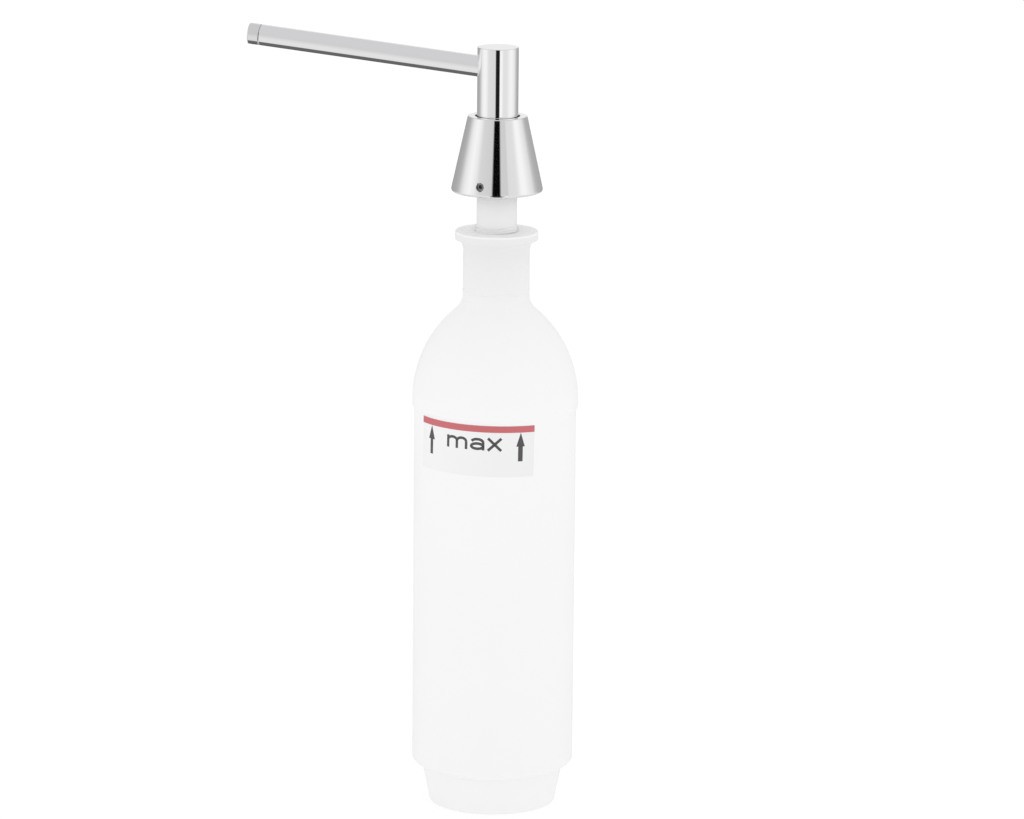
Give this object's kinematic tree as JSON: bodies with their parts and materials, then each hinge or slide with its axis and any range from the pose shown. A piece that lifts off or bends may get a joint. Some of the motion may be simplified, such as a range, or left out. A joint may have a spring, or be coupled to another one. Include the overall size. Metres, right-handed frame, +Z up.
{
  "type": "soap pump dispenser",
  "caption": "Worktop-mounted soap pump: chrome press head with a long spout on a conical shroud, threaded shank through the worktop, and a screw-on bottle below.",
  "frame": {"origin": "centre of the bottle's base, on the surface it stands on", "axes": "+Z up along the pump's axis; -X towards the spout's outlet; -Y towards the side the level label is on"},
  "size_m": [0.1684, 0.083, 0.3915],
  "materials": {
    "bottle_plastic": "satin",
    "stem_plastic": "satin",
    "inner_plastic": "satin",
    "dark_plastic": "satin",
    "label_film": "clear film with a red line",
    "chromed_brass": "polished",
    "steel": "plain",
    "seal_rubber": "matt"
  },
  "bodies": {
    "reservoir": {"bottle": "bottle_plastic", "neck_plug": "stem_plastic", "level_label": "label_film"},
    "thread_ring": {"neck_seal": "seal_rubber"},
    "deck_unit": {"shank": "stem_plastic", "deck_washer": "seal_rubber", "shroud": "chromed_brass", "shroud_screw": "steel", "guide_bush": "dark_plastic", "pump_barrel": "inner_plastic", "barrel_gasket": "seal_rubber", "gland_nut": "inner_plastic", "inlet_valve": "inner_plastic", "dip_tube": "inner_plastic", "strainer": "inner_plastic", "return_spring": "steel"},
    "inlet_check": {"inlet_ball": "steel"},
    "plunger": {"piston_rod": "inner_plastic", "piston": "inner_plastic", "piston_ring": "seal_rubber", "outlet_seat": "inner_plastic", "rod_collar": "inner_plastic", "head_clip": "steel", "swivel_seal": "seal_rubber"},
    "outlet_check": {"outlet_ball": "steel"},
    "head": {"pump_head": "chromed_brass", "spout_tube": "chromed_brass", "spout_tip": "chromed_brass", "nozzle_insert": "dark_plastic"}
  },
  "joints": [
    {"name": "unit_rise", "type": "slide", "parent": "reservoir", "child": "thread_ring", "axis": [0, 0, 1], "range_m": [0, 0.0201]},
    {"name": "unit_turn", "type": "hinge", "parent": "thread_ring", "child": "deck_unit", "pos_m": [0, 0, 0.2924], "axis": [0, 0, 1], "range_deg": [0, 3600]},
    {"name": "head_press", "type": "slide", "parent": "deck_unit", "child": "plunger", "axis": [0, 0, -1], "range_m": [0, 0.014], "stiffness_N_per_m": 500, "springref_m": -0.007, "deforming": ["return_spring"]},
    {"name": "spout_swivel", "type": "hinge", "parent": "plunger", "child": "head", "pos_m": [0, 0, 0.36], "axis": [0, 0, 1], "continuous": true},
    {"name": "inlet_lift", "type": "slide", "parent": "deck_unit", "child": "inlet_check", "axis": [0, 0, 1], "range_m": [0, 0.0014]},
    {"name": "outlet_lift", "type": "slide", "parent": "plunger", "child": "outlet_check", "axis": [0, 0, 1], "range_m": [0, 0.0012]}
  ],
  "couplings": [
    {"joint": "unit_rise", "follows": "unit_turn", "m_per_rad": 0.00031831}
  ]
}
